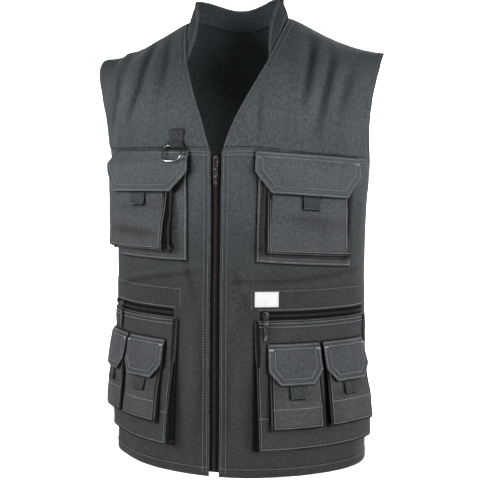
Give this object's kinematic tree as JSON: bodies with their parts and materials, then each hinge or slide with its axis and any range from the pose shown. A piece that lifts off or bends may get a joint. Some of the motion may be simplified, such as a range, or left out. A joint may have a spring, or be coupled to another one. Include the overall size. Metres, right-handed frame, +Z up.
{
  "type": "utility work vest",
  "caption": "Sleeveless work vest in its worn form with a front zip, stand collar, flapped bellows pockets and a D-ring on webbing.",
  "frame": {"origin": "midway between the side neck points and 10 mm above them, where the collar seam rests on the shoulders", "axes": "+Z up, the front faces -Y, +X is the wearer's left"},
  "size_m": [0.4496, 0.286, 0.7013],
  "materials": {
    "twill": "matt charcoal-grey polycotton twill with lighter topstitching",
    "pocket_twill": "matt charcoal-grey polycotton twill with lighter topstitching",
    "tab_twill": "darker charcoal twill",
    "zip_tape": "black woven zip tape with moulded black teeth",
    "black_metal": "black enamelled zip metal, worn bright at its edges",
    "webbing": "dark woven webbing",
    "nickel": "bright nickel plate",
    "label_cloth": "plain white woven label"
  },
  "bodies": {
    "vest": {"front_panel_left": "twill", "front_panel_right": "twill", "back_panel": "twill", "collar": "twill", "chest_pocket_flap_left": "twill", "chest_pocket_flap_right": "twill", "small_inner_flap_left": "twill", "small_outer_flap_left": "twill", "small_inner_flap_right": "twill", "small_outer_flap_right": "twill", "chest_pocket_backing_left": "pocket_twill", "chest_pocket_box_left": "pocket_twill", "lower_pocket_box_left": "pocket_twill", "small_inner_box_left": "pocket_twill", "small_outer_box_left": "pocket_twill", "chest_pocket_backing_right": "pocket_twill", "chest_pocket_box_right": "pocket_twill", "lower_pocket_box_right": "pocket_twill", "small_inner_box_right": "pocket_twill", "small_outer_box_right": "pocket_twill", "chest_pocket_tab_left": "tab_twill", "small_inner_tab_left": "tab_twill", "small_outer_tab_left": "tab_twill", "chest_pocket_tab_right": "tab_twill", "small_inner_tab_right": "tab_twill", "small_outer_tab_right": "tab_twill", "front_zip_tape_left": "zip_tape", "front_zip_tape_right": "zip_tape", "front_zip_chain": "zip_tape", "lower_pocket_zip_left": "zip_tape", "lower_pocket_zip_right": "zip_tape", "front_zip_slider": "black_metal", "lower_pocket_slider_left": "black_metal", "lower_pocket_slider_right": "black_metal", "webbing_loop": "webbing", "label": "label_cloth"},
    "d_ring": {"d_ring": "nickel"},
    "front_pull": {"front_zip_pull": "black_metal"},
    "left_pocket_pull": {"lower_pocket_pull_left": "black_metal"},
    "right_pocket_pull": {"lower_pocket_pull_right": "black_metal"}
  },
  "joints": [
    {"name": "d_ring_swing", "type": "hinge", "parent": "vest", "child": "d_ring", "pos_m": [-0.06449, -0.12483, -0.20023], "axis": [0.9742, -0.2256, 0], "range_deg": [-140, 0]},
    {"name": "front_pull_swing", "type": "hinge", "parent": "vest", "child": "front_pull", "pos_m": [0.00001, -0.13262, -0.21985], "axis": [1, 0.0021, 0], "range_deg": [-165, 0]},
    {"name": "left_pull_swing", "type": "hinge", "parent": "vest", "child": "left_pocket_pull", "pos_m": [0.07428, -0.13335, -0.44217], "axis": [0.9472, 0.3206, 0], "range_deg": [-165, 0]},
    {"name": "right_pull_swing", "type": "hinge", "parent": "vest", "child": "right_pocket_pull", "pos_m": [-0.16919, -0.07245, -0.44233], "axis": [0.6871, -0.7266, 0], "range_deg": [-165, 0]}
  ]
}
